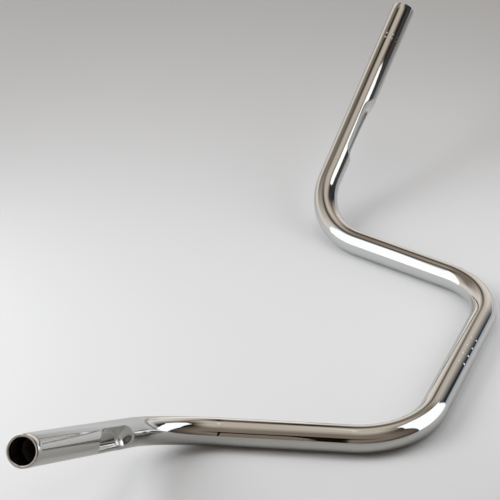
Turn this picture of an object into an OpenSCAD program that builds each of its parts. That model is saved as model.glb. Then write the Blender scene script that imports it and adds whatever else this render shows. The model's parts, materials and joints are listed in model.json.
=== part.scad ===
// Motorcycle handlebar: one round steel tube, bent four times, with two long pressed recesses.
// It lies on its centre section and its two risers, and both grip ends rise off the ground.
// X runs along the centre section, +Y points from the clamp to the open side, +Z is up.
// Each half is a mirror image of the other, apart from the punch marks.
// All lengths are in millimetres and all angles in degrees.

/* [Tube] */
// outer diameter of the tube, 7/8 inch
tube_d = 22.2; // [19:0.1:26]
// wall of the tube
wall_t = 2; // [1.2:0.1:2.6]
// bevel on the inner and outer edge of each open end
end_bevel = 0.5; // [0.2:0.1:0.6]

/* [Bends] */
// straight length between the two inner bends, where the clamps sit
centre_len = 139; // [100:1:220]
// straight length of each riser
riser_len = 98; // [60:1:160]
// straight length of each grip
grip_len = 209; // [160:1:260]
// radius of every bend, on the tube's centre line
bend_r = 66; // [50:1:90]
// angle of the bend between centre and riser
inner_bend = 74; // [50:0.5:85]
// angle of the bend between riser and grip
outer_bend = 80; // [60:0.5:95]
// turn of the tube about the riser between its two bends
riser_roll = 148.2; // [130:0.1:170]
// how far the tube's radius draws in where it is bent
bend_draw = 0.06; // [0.05:0.01:0.15]

/* [Pressed recess] */
// distance from the outer bend to the recess
recess_start = 27; // [18:1:40]
// length of the recess's level floor
floor_len = 47; // [15:1:55]
// depth of the floor below the tube's round
recess_depth = 7.9; // [3:0.1:8]
// radius of the trough and of its round inner end
trough_r = 12.4; // [10.5:0.1:16]
// slope of the floor where it runs out towards the open end
ramp_slope = 40; // [18:1:45]
// turn of the recess about the grip, from the inner side of the outer bend
recess_turn = 9; // [-20:1:30]

/* [Punch marks] */
// depth of each punch mark
mark_depth = 0.35; // [0.1:0.05:0.5]
// radius of the punch's round nose
mark_nose_r = 1.2; // [0.8:0.1:2]
// distance from the open end to the middle of the ring of marks on the right grip
mark_from_end = 42; // [25:1:55]
// distance between the two rings of marks, and between the two rows on the centre
mark_gap = 5; // [3:0.5:6]
// angle between marks around the right grip
mark_step = 34; // [20:1:40]
// distance between marks along the centre section
centre_mark_pitch = 12.5; // [8:0.5:16]

/* [Hidden] */
$fn = 96;
tube_r = tube_d / 2;
bore_r = tube_r - wall_t;
// first mark on the grip, as a turn about its axis
mark_first_turn = -92;
// turn of the middle of the two rows of marks on the centre, from the top towards the clamp's front
centre_mark_turn = 31;
// the first mark along the centre lies one pitch on the left of the middle
centre_marks = [-1 : 2];
ring_marks = [0 : 2];
mark_off = tube_r - mark_depth + mark_nose_r;
// the trough's axis, from the tube's axis
trough_off = tube_r - recess_depth + trough_r;
// length of the round inner end, measured on the tube's round
end_reach = sqrt(pow(trough_r, 2) - pow(trough_off - tube_r, 2));
// radius of the trough's outer end, which lies clear above the tube
tip_r = (trough_r - recess_depth) / 2;
// angle that each end of a bend runs on for, inside its straight
bend_lap = 0.05;
// the bore is cut this much past each open end
over = 1;
// half the angle between the two rows of marks on the centre
row_turn = mark_gap / 2 / tube_r * 180 / PI;

// children move from the start of a bend to its end; it starts along +Z and bends towards +X
module past_bend(angle) {
    translate([bend_r, 0, 0])
        rotate([0, angle, 0])
            translate([-bend_r, 0, 0])
                children();
}

// a bend of solid bar, with each end a little way inside the straight that it meets
module elbow(r, angle) {
    translate([bend_r, 0, 0])
        rotate([90, angle + bend_lap - 180, 0])
            rotate_extrude(angle = angle + 2 * bend_lap)
                translate([bend_r, 0])
                    circle(r = r - bend_draw);
}

// children move from the middle of the centre section to the start of the riser
module on_riser() {
    translate([0, 0, centre_len / 2])
        past_bend(inner_bend)
            children();
}

// children move to the start of the grip, +X to the inner side of its bend
module on_grip() {
    on_riser()
        translate([0, 0, riser_len])
            rotate([0, 0, riser_roll])
                past_bend(outer_bend)
                    children();
}

// a solid round bar of radius r along the riser and both its bends
module riser_bar(r) {
    translate([0, 0, centre_len / 2])
        elbow(r, inner_bend);
    on_riser() {
        cylinder(h = riser_len, r = r);
        translate([0, 0, riser_len])
            rotate([0, 0, riser_roll])
                elbow(r, outer_bend);
    }
}

// the grip's outside, with its bevelled end
module grip_bar() {
    cylinder(h = grip_len - end_bevel, r = tube_r);
    translate([0, 0, grip_len - end_bevel])
        cylinder(h = end_bevel, r1 = tube_r, r2 = tube_r - end_bevel);
}

// the grip's bore, with its bevelled mouth
module grip_bore() {
    cylinder(h = grip_len + over, r = bore_r);
    translate([0, 0, grip_len - end_bevel])
        cylinder(h = end_bevel + over, r1 = bore_r, r2 = bore_r + end_bevel + over);
}

// the press tool: a trough with a round inner end, tapering so that its floor rises to the outer end
module press_tool(grow) {
    r = trough_r + grow;
    level = floor_len + grow * tan(ramp_slope / 2);
    rotate([0, 0, recess_turn])
        translate([trough_off, 0, recess_start + end_reach]) {
            sphere(r = r);
            cylinder(h = level, r = r);
            translate([0, 0, level])
                cylinder(h = (r - tip_r) / tan(ramp_slope), r1 = r, r2 = tip_r);
        }
}

// one half of the tube's outside, pressed in at the recess
module half_outside() {
    riser_bar(tube_r);
    on_grip()
        difference() {
            grip_bar();
            press_tool(0);
        }
}

// one half of the bore; the pressed wall keeps its thickness
module half_bore() {
    riser_bar(bore_r);
    on_grip()
        difference() {
            grip_bore();
            press_tool(wall_t);
        }
}

// one punch mark, on the +X side of a tube along +Z
module mark() {
    translate([mark_off, 0, 0])
        sphere(r = mark_nose_r);
}

// three pairs of marks around the right grip
module grip_marks() {
    for (i = ring_marks, row = [-1, 1])
        rotate([0, 0, mark_first_turn + i * mark_step])
            translate([0, 0, grip_len - mark_from_end + row * mark_gap / 2])
                mark();
}

// two rows of marks along the top of the centre section
module centre_marks_rows() {
    for (i = centre_marks, row = [-1, 1])
        rotate([0, 0, 90 + centre_mark_turn + row * row_turn])
            translate([0, 0, i * centre_mark_pitch])
                mark();
}

// +Z of a half lies along +X of the bar, and +X of a half along +Y
module right_half() {
    rotate([90, 0, 90])
        children();
}

module left_half() {
    mirror([1, 0, 0])
        right_half()
            children();
}

// a solid round bar of radius r along the centre section
module centre_bar(r) {
    rotate([0, 90, 0])
        cylinder(h = centre_len, r = r, center = true);
}

module handlebar() {
    color("#c6cacd")
        difference() {
            union() {
                centre_bar(tube_r);
                right_half() half_outside();
                left_half() half_outside();
            }
            union() {
                centre_bar(bore_r);
                right_half() half_bore();
                left_half() half_bore();
            }
            right_half() {
                on_grip() grip_marks();
                centre_marks_rows();
            }
        }
}

handlebar();
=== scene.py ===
import json
from math import cos, pi, radians, sqrt, tan

import bpy
import numpy as np
from mathutils import Matrix, Vector


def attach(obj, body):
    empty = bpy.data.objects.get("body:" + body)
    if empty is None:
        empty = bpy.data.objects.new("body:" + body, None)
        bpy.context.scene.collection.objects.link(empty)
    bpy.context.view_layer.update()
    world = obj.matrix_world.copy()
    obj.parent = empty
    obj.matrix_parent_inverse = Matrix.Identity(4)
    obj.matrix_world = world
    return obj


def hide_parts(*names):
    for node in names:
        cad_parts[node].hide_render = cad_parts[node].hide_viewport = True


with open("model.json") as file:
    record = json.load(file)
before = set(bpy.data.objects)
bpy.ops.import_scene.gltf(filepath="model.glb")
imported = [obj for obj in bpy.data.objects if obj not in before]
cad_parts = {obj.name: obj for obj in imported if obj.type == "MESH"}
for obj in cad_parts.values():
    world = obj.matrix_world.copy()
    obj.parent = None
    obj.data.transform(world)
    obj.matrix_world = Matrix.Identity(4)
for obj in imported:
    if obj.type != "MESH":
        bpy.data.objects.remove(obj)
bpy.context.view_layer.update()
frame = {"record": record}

# The chrome finish: nickel and chromium plated on a buffed steel tube. It mirrors its surroundings
# sharply. Buffing leaves waves in the surface that only bend a reflection, and handling leaves a
# thin film that softens it in places.
MM = 0.001


def linear(hex_colour):
    """An sRGB hex colour as the linear RGBA that a shader socket takes."""
    channels = [int(hex_colour[i:i + 2], 16) / 255 for i in (1, 3, 5)]
    return [c / 12.92 if c <= 0.04045 else ((c + 0.055) / 1.055) ** 2.4 for c in channels] + [1.0]


def add(tree, kind, settings=None, **links):
    """A node of that kind, with its settings and its inputs: a value is set, a socket is linked."""
    node = tree.nodes.new(kind)
    for name, value in (settings or {}).items():
        setattr(node, name, value)
    for name, value in links.items():
        socket = node.inputs[int(name[1:])] if name[0] == "_" else node.inputs[name]
        if isinstance(value, bpy.types.NodeSocket):
            tree.links.new(value, socket)
        else:
            socket.default_value = value
    return node


BUFFING_WAVE = 38 * MM
WAVE_DEPTH = 0.05 * MM
FILM_PATCH = 26 * MM
chrome = bpy.data.materials.new("polished chrome plate")
chrome.use_nodes = True
plate = chrome.node_tree
shader = plate.nodes["Principled BSDF"]
shader.inputs["Base Color"].default_value = linear("#DADBDB")
shader.inputs["Metallic"].default_value = 1.0
place = add(plate, "ShaderNodeTexCoord").outputs["Object"]
waves = add(plate, "ShaderNodeTexNoise", Vector=place, Scale=1 / BUFFING_WAVE, Detail=1.0)
relief = add(plate, "ShaderNodeBump", Height=waves.outputs[0], Strength=0.25, Distance=WAVE_DEPTH)
film = add(plate, "ShaderNodeTexNoise", Vector=place, Scale=1 / FILM_PATCH, Detail=5.0)
softness = add(plate, "ShaderNodeMapRange", Value=film.outputs[0],
               **{"From Min": 0.4, "From Max": 0.75, "To Min": 0.035, "To Max": 0.075})
plate.links.new(softness.outputs[0], shader.inputs["Roughness"])
plate.links.new(relief.outputs[0], shader.inputs["Normal"])

# The bore's finish: bare tube steel. Plating hardly reaches inside a long tube, so the bore stays
# dull and brownish.
bare_steel = bpy.data.materials.new("bare tube steel")
bare_steel.use_nodes = True
dull = bare_steel.node_tree.nodes["Principled BSDF"]
dull.inputs["Base Color"].default_value = linear("#6E635E")
dull.inputs["Roughness"].default_value = 0.8

# The bender's path: the tube's centre line, walked from the middle of the clamp section to the
# right end as straights and bends, and mirrored for the left. Each point keeps its side, a
# direction that turns with the bends and never twists about the tube.
mounts = {m["name"]: m for m in frame["record"]["mounts"]}
clamp_section = mounts["clamp_section"]["dims"]
TUBE_R = clamp_section["r_mm"] * MM
BORE_R = mounts["right_end_bore"]["dims"]["r_mm"] * MM
WALL = TUBE_R - BORE_R
CENTRE_LEN = clamp_section["length_mm"] * MM
RISER_LEN = 98 * MM
GRIP_LEN = 209 * MM
BEND_R = 66 * MM
INNER_BEND = radians(74)
OUTER_BEND = radians(80)
RISER_ROLL = radians(148.2)
BEND_STEP = radians(0.5)

spots, sides, walked = [Vector()], [Vector((0, 1, 0))], [0.0]
heading, side, inward = Vector((1, 0, 0)), Vector((0, 1, 0)), Vector((0, 1, 0))


def straight(length):
    spots.append(spots[-1] + heading * length)
    sides.append(side.copy())
    walked.append(walked[-1] + length)


def bend(angle):
    """Turns the heading towards inward, one small straight at a time."""
    global heading, side, inward
    steps = round(angle / BEND_STEP)
    start, hub, axle = spots[-1].copy(), spots[-1] + inward * BEND_R, heading.cross(inward)
    first_heading, first_side, first_inward = heading, side, inward
    for i in range(1, steps + 1):
        turn = Matrix.Rotation(angle * i / steps, 3, axle)
        heading, side, inward = turn @ first_heading, turn @ first_side, turn @ first_inward
        spots.append(hub + turn @ (start - hub))
        sides.append(side.copy())
        walked.append(walked[-1] + BEND_R * angle / steps)


straight(CENTRE_LEN / 2)
bend(INNER_BEND)
straight(RISER_LEN)
inward = Matrix.Rotation(RISER_ROLL, 3, heading) @ inward
grip_from = walked[-1] + BEND_R * OUTER_BEND
bend(OUTER_BEND)
straight(GRIP_LEN)
half_len = walked[-1]

mirrored = Vector((-1, 1, 1))
path_spots = [p * mirrored for p in spots[:0:-1]] + spots
path_sides = [s * mirrored for s in sides[:0:-1]] + sides
path_mesh = bpy.data.meshes.new("tube_path")
path_mesh.from_pydata(path_spots, [(i, i + 1) for i in range(len(path_spots) - 1)], [])
side_data = path_mesh.attributes.new("side", "FLOAT_VECTOR", "POINT")
side_data.data.foreach_set("vector", np.array(path_sides).ravel())
tube_path = bpy.data.objects.new("tube_path", path_mesh)
bpy.context.scene.collection.objects.link(tube_path)

# The handlebar: one steel tube of 7/8 inch with a long recess pressed into the underside of each
# grip, and punch marks on the clamp section and the right grip. Its skin is drawn flat first,
# outside and bore in one sheet of rows and columns, and then wrapped round the path.
COLUMNS = 144
END_BEVEL = 0.5 * MM
RECESS_START = 27 * MM
RECESS_FLOOR = 47 * MM
RECESS_DEPTH = 7.9 * MM
TROUGH_R = 12.4 * MM
RAMP_SLOPE = radians(40)
RAMP_ROUNDING = 3 * MM
RECESS_TURN = RISER_ROLL + radians(9)
# a lip is rounder on its lower side, by up to this share of its radius
LIP_R = 2.0 * MM
LIP_SWAY = 0.75
INNER_LIP_R = 0.3 * MM
TROUGH_OFF = TUBE_R - RECESS_DEPTH + TROUGH_R
END_REACH = sqrt(TROUGH_R ** 2 - (TROUGH_OFF - TUBE_R) ** 2)
LEVEL_FROM = RECESS_START + END_REACH
RECESS_MARGIN = 4 * MM
LIP_MARGIN = 5 * MM
PRESSED_FROM = RECESS_START - RECESS_MARGIN
PRESSED_TO = LEVEL_FROM + RECESS_FLOOR + RECESS_DEPTH / tan(RAMP_SLOPE) + RECESS_MARGIN
# columns gather at the recess's lips, over this length before and after it
GATHER_LEN = 22 * MM
GATHER_TO = PRESSED_TO + GATHER_LEN
LIP_ANGLE = radians(57)
LIP_WIDTH = radians(14)
LIP_CROWDING = 3
FLOOR_WIDTH = radians(45)
MARK_DEPTH = 0.35 * MM
MARK_NOSE_R = 1.2 * MM
MARK_GAP = 5 * MM
MARK_FROM_END = 42 * MM
MARK_FIRST_TURN = RISER_ROLL - radians(92)
MARK_STEP = radians(34)
CENTRE_MARK_PITCH = 12.5 * MM
CENTRE_MARK_TURN = radians(31)
MARK_CLEARANCE = 1.4 * MM
MARK_ROW_STEP = 0.26 * MM
MARK_ROWS = MARK_ROW_STEP * np.arange(-5, 6)
ring_marks = [(grip_from + GRIP_LEN - MARK_FROM_END + row * MARK_GAP / 2,
               MARK_FIRST_TURN + i * MARK_STEP) for i in range(3) for row in (-1, 1)]
centre_marks = [(i * CENTRE_MARK_PITCH, pi / 2 + CENTRE_MARK_TURN + row * MARK_GAP / 2 / TUBE_R)
                for i in range(-1, 3) for row in (-1, 1)]
MARCH_STEPS = 80
HALVINGS = 24
TOUCHING = 1e-9


def tool_distance(out, across, along, grow):
    """How far a point lies outside the press tool, which is grown by the wall for the bore."""
    r = TROUGH_R + grow
    q = np.hypot(out - TROUGH_OFF, across)
    past = along - LEVEL_FROM
    ramp = past - RECESS_FLOOR - grow * tan(RAMP_SLOPE / 2)
    run = (ramp + np.sqrt(ramp ** 2 + RAMP_ROUNDING ** 2)) / 2
    trough = (q - r + run * tan(RAMP_SLOPE)) * cos(RAMP_SLOPE)
    return np.where(past < 0, np.hypot(q, past) - r, trough)


def pressed_radius(along, angle, round_r, grow, lip):
    """The skin's distance from the tube's axis, with a lip of that radius round the recess. It
    marches outwards to the first spot outside the metal's round, and then halves the step."""
    def outside(r):
        skin = r - round_r
        cut = -tool_distance(r * np.cos(angle), r * np.sin(angle), along, grow)
        corner = np.hypot(np.maximum(lip + skin, 0), np.maximum(lip + cut, 0))
        return np.minimum(-lip, np.maximum(skin, cut)) + corner
    low, found = np.zeros_like(angle), np.zeros(angle.shape, bool)
    step = round_r / MARCH_STEPS
    for k in range(1, MARCH_STEPS + 1):
        found |= outside(np.full_like(angle, k * step)) > TOUCHING
        low = np.where(found, low, k * step)
    high = np.minimum(low + step, round_r)
    for _ in range(HALVINGS):
        middle = (low + high) / 2
        beyond = outside(middle) > 0
        low, high = np.where(beyond, low, middle), np.where(beyond, middle, high)
    return np.where(found, low, round_r)


def spread(start, end, step):
    return np.linspace(start, end, max(1, round((end - start) / step)), endpoint=False)


def rows_of_half(bend_step, recess_step, plain_step, marks):
    """Distances from the middle at which a half has a row, closer where its shape changes."""
    riser_from = CENTRE_LEN / 2 + BEND_R * INNER_BEND
    outer_from = riser_from + RISER_LEN
    rows = [spread(0, CENTRE_LEN / 2, plain_step), spread(CENTRE_LEN / 2, riser_from, bend_step),
            spread(riser_from, outer_from, plain_step), spread(outer_from, grip_from, bend_step),
            spread(grip_from, grip_from + PRESSED_FROM, 2 * recess_step),
            spread(grip_from + PRESSED_FROM, grip_from + PRESSED_TO, recess_step),
            spread(grip_from + PRESSED_TO, grip_from + GATHER_TO, 2 * recess_step),
            spread(grip_from + GATHER_TO, half_len - END_BEVEL, plain_step)]
    rows = np.concatenate(rows)
    for mark in marks:
        rows = np.concatenate([rows[abs(rows - mark) > MARK_CLEARANCE], mark + MARK_ROWS[:-1]])
    return np.sort(rows)


def place_columns(along):
    """Each row's angles: even, but closer at the recess's lips along the pressed stretch."""
    wide = np.linspace(-pi, pi, 10 * COLUMNS + 1)
    weight = 1 + LIP_CROWDING * np.exp(-((abs(wide) - LIP_ANGLE) / LIP_WIDTH) ** 2)
    weight += np.exp(-(wide / FLOOR_WIDTH) ** 2)
    total = np.concatenate([[0], np.cumsum((weight[1:] + weight[:-1]) / 2)])
    even = np.linspace(-pi, pi, COLUMNS, endpoint=False)
    close = np.interp((even + pi) / (2 * pi) * total[-1], total, wide)
    on_grip = abs(along) - grip_from
    share = np.clip(np.minimum(on_grip, GATHER_TO - on_grip) / GATHER_LEN, 0, 1)
    share = (share * share * (3 - 2 * share))[:, None]
    return even * (1 - share) + close * share


def skin(along, round_r, grow, lip, marks):
    """One skin of the tube: the depth below the outside at each row and column, and the angles."""
    angle = place_columns(along)
    on_grip = (abs(along) - grip_from)[:, None] + 0 * angle
    radius = np.full_like(angle, round_r)
    past_start = on_grip[:, 0] > RECESS_START - LIP_MARGIN
    pressed = past_start & (on_grip[:, 0] < PRESSED_TO + LIP_MARGIN)
    outboard = np.clip((on_grip[pressed] - LEVEL_FROM) / RECESS_FLOOR, 0, 1)
    sway = LIP_SWAY * lip * np.sin(angle[pressed]) * np.cos(outboard * pi / 2)
    radius[pressed] = pressed_radius(on_grip[pressed], angle[pressed], round_r, grow, lip + sway)
    angle = angle + RECESS_TURN
    for mark_along, mark_angle in marks:
        away = (angle - mark_angle + pi) % (2 * pi) - pi
        reach = np.hypot(along[:, None] - mark_along, away * round_r)
        dip = np.sqrt(np.maximum(MARK_NOSE_R ** 2 - reach ** 2, 0)) - MARK_NOSE_R + MARK_DEPTH
        radius = radius - np.maximum(dip, 0)
    return angle, TUBE_R - radius


ring_rows = sorted({along for along, _ in ring_marks})
half = rows_of_half(bend_step=2.3 * MM, recess_step=0.85 * MM, plain_step=8 * MM, marks=ring_rows)
centre_rows = sorted({abs(along) for along, _ in centre_marks})
half = np.sort(np.concatenate([half] + [mark + MARK_ROWS for mark in centre_rows]))
half = half[half > 0.05 * MM]
outside_rows = np.concatenate([-half[::-1], [0], half])
outside_angle, outside_depth = skin(outside_rows, TUBE_R, 0.0, LIP_R, ring_marks + centre_marks)
half = rows_of_half(bend_step=9 * MM, recess_step=3 * MM, plain_step=20 * MM, marks=[])
bore_rows = np.concatenate([-half[:0:-1], half])
bore_angle, bore_depth = skin(bore_rows, BORE_R, WALL, INNER_LIP_R, [])

# the bevelled end as (distance back from the end, depth below the outside), outside to bore
CREASE = 0.03 * MM
rim = [(END_BEVEL + CREASE, 0), (END_BEVEL, CREASE / 2), (CREASE, END_BEVEL - CREASE / 2),
       (0, END_BEVEL + CREASE), (0, WALL - END_BEVEL - CREASE),
       (CREASE, WALL - END_BEVEL + CREASE / 2), (END_BEVEL, WALL - CREASE / 2),
       (END_BEVEL + CREASE, WALL)]
even = np.linspace(-pi, pi, COLUMNS, endpoint=False) + RECESS_TURN
right_rim = [(half_len - back, depth) for back, depth in rim]
left_rim = [(back - half_len, depth) for back, depth in reversed(rim)]
rings = list(zip(outside_rows, outside_angle, outside_depth))
rings += [(along, even, np.full(COLUMNS, depth)) for along, depth in right_rim]
rings += list(zip(bore_rows[::-1], bore_angle[::-1], bore_depth[::-1]))
rings += [(along, even, np.full(COLUMNS, depth)) for along, depth in left_rim]
rows, angles, depths = zip(*rings)

row_count = len(rows)
sheet_spots = np.stack([np.repeat(np.array(rows)[:, None], COLUMNS, 1) + half_len,
                        np.array(angles), np.array(depths)], axis=-1).reshape(-1, 3)
row, column = np.meshgrid(np.arange(row_count), np.arange(COLUMNS), indexing="ij")
next_row, next_column = (row + 1) % row_count, (column + 1) % COLUMNS
quads = np.stack([row * COLUMNS + column, next_row * COLUMNS + column,
                  next_row * COLUMNS + next_column, row * COLUMNS + next_column], axis=-1)
sheet = bpy.data.meshes.new("tube_sheet")
sheet.from_pydata(sheet_spots.tolist(), [], quads.reshape(-1, 4).tolist())
tube = bpy.data.objects.new("tube_sheet", sheet)
bpy.context.scene.collection.objects.link(tube)

wrap = bpy.data.node_groups.new("wrap the sheet round the path", "GeometryNodeTree")
wrap.is_modifier = True
wrap.interface.new_socket("Geometry", in_out="INPUT", socket_type="NodeSocketGeometry")
path_input = wrap.interface.new_socket("Path", in_out="INPUT", socket_type="NodeSocketObject")
radius_input = wrap.interface.new_socket("Outside radius", in_out="INPUT",
                                         socket_type="NodeSocketFloat")
finish_input = wrap.interface.new_socket("Finish", in_out="INPUT",
                                         socket_type="NodeSocketMaterial")
wrap.interface.new_socket("Geometry", in_out="OUTPUT", socket_type="NodeSocketGeometry")
given = wrap.nodes.new("NodeGroupInput").outputs
flat = add(wrap, "ShaderNodeSeparateXYZ", Vector=add(wrap, "GeometryNodeInputPosition").outputs[0])
line = add(wrap, "GeometryNodeObjectInfo", Object=given["Path"]).outputs["Geometry"]
line = add(wrap, "GeometryNodeMeshToCurve", Mesh=line).outputs["Curve"]
side_name = add(wrap, "GeometryNodeInputNamedAttribute", {"data_type": "FLOAT_VECTOR"}, Name="side")
sample = add(wrap, "GeometryNodeSampleCurve", {"data_type": "FLOAT_VECTOR", "mode": "LENGTH"},
             Curves=line, Value=side_name.outputs["Attribute"], Length=flat.outputs["X"]).outputs
first_side = add(wrap, "ShaderNodeVectorMath", {"operation": "NORMALIZE"},
                 Vector=sample["Value"]).outputs[0]
second_side = add(wrap, "ShaderNodeVectorMath", {"operation": "CROSS_PRODUCT"},
                  _0=sample["Tangent"], _1=first_side).outputs[0]
second_side = add(wrap, "ShaderNodeVectorMath", {"operation": "NORMALIZE"},
                  Vector=second_side).outputs[0]
from_axis = add(wrap, "ShaderNodeMath", {"operation": "SUBTRACT"},
                _0=given["Outside radius"], _1=flat.outputs["Z"]).outputs[0]
reach = []
for operation, direction in (("COSINE", first_side), ("SINE", second_side)):
    share = add(wrap, "ShaderNodeMath", {"operation": operation}, _0=flat.outputs["Y"]).outputs[0]
    share = add(wrap, "ShaderNodeMath", {"operation": "MULTIPLY"}, _0=share, _1=from_axis).outputs[0]
    reach.append(add(wrap, "ShaderNodeVectorMath", {"operation": "SCALE"},
                     Vector=direction, Scale=share).outputs[0])
around = add(wrap, "ShaderNodeVectorMath", {"operation": "ADD"}, _0=reach[0], _1=reach[1])
spot = add(wrap, "ShaderNodeVectorMath", {"operation": "ADD"},
           _0=sample["Position"], _1=around.outputs[0])
bent = add(wrap, "GeometryNodeSetPosition", Geometry=given["Geometry"], Position=spot.outputs[0])
bent = add(wrap, "GeometryNodeSetShadeSmooth", Geometry=bent.outputs[0])
bent = add(wrap, "GeometryNodeRealizeInstances", Geometry=bent.outputs[0])
bent = add(wrap, "GeometryNodeSetMaterial", Geometry=bent.outputs[0], Material=given["Finish"])
wrap.links.new(bent.outputs[0], wrap.nodes.new("NodeGroupOutput").inputs[0])

bending = tube.modifiers.new("bending", "NODES")
bending.node_group = wrap
bending[path_input.identifier] = tube_path
bending[radius_input.identifier] = TUBE_R
bending[finish_input.identifier] = chrome
bpy.context.view_layer.update()
evaluated = tube.evaluated_get(bpy.context.evaluated_depsgraph_get())
handlebar_mesh = bpy.data.meshes.new_from_object(evaluated)
handlebar_mesh.name = "chrome_tube"
handlebar_mesh.materials.append(bare_steel)
first_bore_face = (len(outside_rows) + len(rim)) * COLUMNS
in_bore = np.zeros(len(handlebar_mesh.polygons), int)
in_bore[first_bore_face:first_bore_face + (len(bore_rows) - 1) * COLUMNS] = 1
handlebar_mesh.polygons.foreach_set("material_index", in_bore)
handlebar = bpy.data.objects.new("chrome_tube", handlebar_mesh)
bpy.context.scene.collection.objects.link(handlebar)
for leftover in (tube, tube_path):
    bpy.data.objects.remove(leftover)
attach(handlebar, "root")
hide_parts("handlebar")

# The floor: a wide sheet of pale matt paper that the bar rests on. A switch on mirrored rays
# paints it darker in the chrome's reflection, and darkest on the camera's side: painted shade in
# the mirror image, not a colour that the paper has.
FLOOR_HALF = 4.0
PAPER = "#DADDE1"
# painted shade: the paper's colours as the chrome mirrors it, darker near the camera, lighter far
# off
MIRROR_SHADE_NEAR, NEAR_X = "#ADADAB", -0.2
MIRROR_SHADE_FAR, FAR_X = "#D2D5D8", 0.15
floor_z = -TUBE_R
floor_mesh = bpy.data.meshes.new("paper_floor")
corners = [(-FLOOR_HALF, -FLOOR_HALF), (FLOOR_HALF, -FLOOR_HALF),
           (FLOOR_HALF, FLOOR_HALF), (-FLOOR_HALF, FLOOR_HALF)]
floor_mesh.from_pydata([(x, y, floor_z) for x, y in corners], [], [(0, 1, 2, 3)])
floor = bpy.data.objects.new("paper_floor", floor_mesh)
bpy.context.scene.collection.objects.link(floor)
paper = bpy.data.materials.new("matt backdrop paper")
paper.use_nodes = True
sheet_shader = paper.node_tree.nodes["Principled BSDF"]
coating = paper.node_tree
mirror_seen = add(coating, "ShaderNodeLightPath").outputs["Is Glossy Ray"]
spot_on_paper = add(coating, "ShaderNodeTexCoord").outputs["Object"]
spot_x = add(coating, "ShaderNodeSeparateXYZ", Vector=spot_on_paper).outputs["X"]
far_off = add(coating, "ShaderNodeMapRange", Value=spot_x, **{"From Min": NEAR_X, "From Max": FAR_X})
# painted shade in the reflection: blends the mirrored paper from dark near the camera to lighter far
# off
painted_mirror_shade = add(coating, "ShaderNodeMix", {"data_type": "RGBA"}, _0=far_off.outputs[0],
                    _6=linear(MIRROR_SHADE_NEAR), _7=linear(MIRROR_SHADE_FAR))
tone = add(coating, "ShaderNodeMix", {"data_type": "RGBA"}, _0=mirror_seen,
           _6=linear(PAPER), _7=painted_mirror_shade.outputs[2])
coating.links.new(tone.outputs[2], sheet_shader.inputs["Base Color"])
sheet_shader.inputs["Roughness"].default_value = 0.85
floor_mesh.materials.append(paper)

# The studio: a tall softbox stands close on each side of the bar. The chrome mirrors both, and the
# photographer as a dark shape. Mirrored light is stronger than the light that the paper scatters.
MIRRORED = 1.4
SCATTERED = 0.97


def card(name, corners, hex_colour):
    """A glowing panel that only mirrors see; the lamps do the lighting."""
    mesh = bpy.data.meshes.new(name)
    mesh.from_pydata(corners, [], [tuple(range(len(corners)))])
    panel = bpy.data.objects.new(name, mesh)
    bpy.context.scene.collection.objects.link(panel)
    glow = bpy.data.materials.new(name)
    glow.use_nodes = True
    glow.node_tree.nodes.clear()
    light = add(glow.node_tree, "ShaderNodeEmission", Color=linear(hex_colour), Strength=MIRRORED)
    add(glow.node_tree, "ShaderNodeOutputMaterial", Surface=light.outputs[0])
    mesh.materials.append(glow)
    panel.visible_camera = panel.visible_diffuse = panel.visible_shadow = False


RIGHT_Y = -0.20
LEFT_Y = 0.65
PHOTOGRAPHER_X = -1.15
card("right softbox", [(x, RIGHT_Y, z) for x, z in (
    (-0.10, 0.0), (0.16, 0.0), (0.20, 0.14), (0.27, 0.26), (0.40, 0.36), (0.40, 0.50), (0.36, 0.80),
    (0.10, 0.75), (-0.03, 0.42), (-0.10, 0.26))], "#FFFFFF")
card("photographer", [(PHOTOGRAPHER_X, y, z) for y, z in (
    (-0.22, 0.0), (-0.165, 0.05), (-0.15, 0.35), (-0.10, 0.66), (-0.10, 0.74),
    (-0.22, 0.75))], "#0E0A06")
card("left softbox", [(x, LEFT_Y, z) for x, z in (
    (-0.65, 0.0), (0.0, 0.0), (0.02, 0.50), (0.08, 0.70), (0.10, 0.98), (-0.65, 0.98))], "#FFFFFF")

# The room, as the chrome mirrors it: in most directions a wall, a dark band above it and a beige
# ceiling. Each direction round, in degrees from +X, has its colours by elevation, and the
# colours blend between two directions.
PALE, CREAM, BEIGE, BROWN = "#FFF4EA", "#CFC7BE", "#B3A99C", "#73685D"
DIM, COOL, SLATE, DARK = "#3E3A38", "#AEB5BD", "#23282E", "#1A150F"
ROOM = {
    -170: ((0, BROWN), (25, BROWN), (29, DARK), (33, DARK), (37, BROWN), (60, BROWN), (88, BEIGE)),
    -120: ((0, DIM), (20, BROWN), (60, BROWN), (80, BEIGE)),
    -75: ((0, DIM), (32, DIM), (44, DARK), (57, DARK), (76, BEIGE)),
    -33: ((0, COOL), (3, COOL), (9, SLATE), (26, SLATE), (45, DIM), (60, DIM), (75, BEIGE)),
    -8: ((0, CREAM), (24, CREAM), (38, BEIGE), (44, BROWN), (60, BEIGE)),
    8: ((0, CREAM), (15, CREAM), (36, BEIGE), (41, BROWN), (52, BEIGE)),
    20: ((0, PALE), (9, PALE), (20, BEIGE), (32, DARK), (46, DARK), (59, BEIGE), (70, CREAM)),
    27: ((0, PALE), (14, CREAM), (26, BEIGE), (38, BROWN), (46, BROWN), (59, BEIGE)),
    36: ((0, CREAM), (26, CREAM), (42, BROWN), (52, BROWN), (62, BEIGE)),
    75: ((0, CREAM), (14, CREAM), (30, BROWN), (50, BROWN), (58, DARK), (68, DARK), (80, BEIGE)),
    110: ((0, CREAM), (60, CREAM), (70, BEIGE)),
}
ROOM[190] = ROOM[-170]
world = bpy.data.worlds.new("studio room")
bpy.context.scene.world = world
world.use_nodes = True
room = world.node_tree
room.nodes.clear()
toward = add(room, "ShaderNodeSeparateXYZ",
             Vector=add(room, "ShaderNodeTexCoord").outputs["Generated"]).outputs
azimuth = add(room, "ShaderNodeMath", {"operation": "ARCTAN2"}, _0=toward["Y"], _1=toward["X"])
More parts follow.
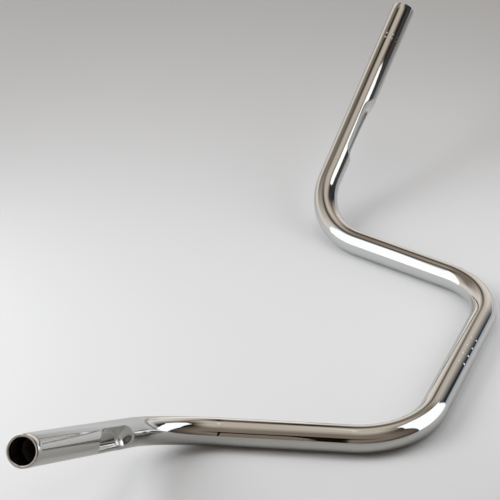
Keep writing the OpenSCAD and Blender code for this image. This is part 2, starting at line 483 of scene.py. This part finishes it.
azimuth = add(room, "ShaderNodeMath", {"operation": "WRAP"}, _0=azimuth.outputs[0],
              _1=radians(190), _2=radians(-170)).outputs[0]
elevation = add(room, "ShaderNodeMath", {"operation": "ARCSINE"}, _0=toward["Z"])
share_up = add(room, "ShaderNodeMath", {"operation": "DIVIDE"}, _0=elevation.outputs[0],
               _1=pi / 2).outputs[0]
painted = last = None
for place_round, bands in ROOM.items():
    wall = add(room, "ShaderNodeValToRGB", Fac=share_up)
    steps = wall.color_ramp.elements
    while len(steps) < len(bands):
        steps.new(1.0)
    for step, (height, colour) in zip(steps, bands):
        step.position, step.color = height / 90, linear(colour)
    if painted is None:
        painted = wall.outputs["Color"]
    else:
        onward = add(room, "ShaderNodeMapRange", Value=azimuth,
                     **{"From Min": radians(last), "From Max": radians(place_round)})
        painted = add(room, "ShaderNodeMix", {"data_type": "RGBA"}, _0=onward.outputs[0],
                      _6=painted, _7=wall.outputs["Color"]).outputs[2]
    last = place_round
mirror_ray = add(room, "ShaderNodeLightPath").outputs["Is Glossy Ray"]
strength = add(room, "ShaderNodeMath", {"operation": "MULTIPLY_ADD"}, _0=mirror_ray,
               _1=MIRRORED - SCATTERED, _2=SCATTERED)
room_light = add(room, "ShaderNodeBackground", Color=painted, Strength=strength.outputs[0])
add(room, "ShaderNodeOutputWorld", Surface=room_light.outputs[0])

# The lamps that light the paper: one where each softbox stands, a third behind the left one, and
# one overhead. The chrome doesn't mirror them.


def lamp(name, spot, aim, width, height, watts):
    light = bpy.data.lights.new(name, "AREA")
    light.shape = "RECTANGLE"
    light.size, light.size_y, light.energy = width, height, watts
    holder = bpy.data.objects.new(name, light)
    holder.location = spot
    holder.rotation_euler = (Vector(aim) - Vector(spot)).to_track_quat("-Z", "Y").to_euler()
    holder.visible_camera = holder.visible_glossy = False
    bpy.context.scene.collection.objects.link(holder)


lamp("left softbox lamp", (-0.21, LEFT_Y, 0.46), (-0.21, 0, 0.46), 0.5, 0.9, 2.2)
lamp("right softbox lamp", (0.16, RIGHT_Y, 0.35), (0.16, 1, 0.35), 0.45, 0.5, 1.3)
lamp("lamp behind the left softbox", (-0.5, 1.0, 0.9), (0, 0.1, 0), 0.9, 0.9, 8.8)
lamp("ceiling lamp", (0.1, 0.2, 1.6), (0.1, 0.2, 0), 0.8, 0.8, 3.9)

# The camera, 0.8 m above the paper, beyond the left grip and looking down along the bar.
camera_data = bpy.data.cameras.new("camera")
camera_data.lens = 122.4
camera_data.sensor_width = 36
camera = bpy.data.objects.new("camera", camera_data)
view_right = Vector((0.37242098, -0.92802975, -0.00796193))
view_up = Vector((0.46132326, 0.17767262, 0.8692602))
view_back = view_right.cross(view_up)
camera.matrix_world = Matrix.Translation((-1.15043, -0.28277, 0.77513)) @ Matrix(
    (view_right, view_up, view_back)).transposed().to_4x4()
bpy.context.scene.collection.objects.link(camera)
bpy.context.scene.camera = camera
bpy.context.scene.view_settings.view_transform = "Standard"
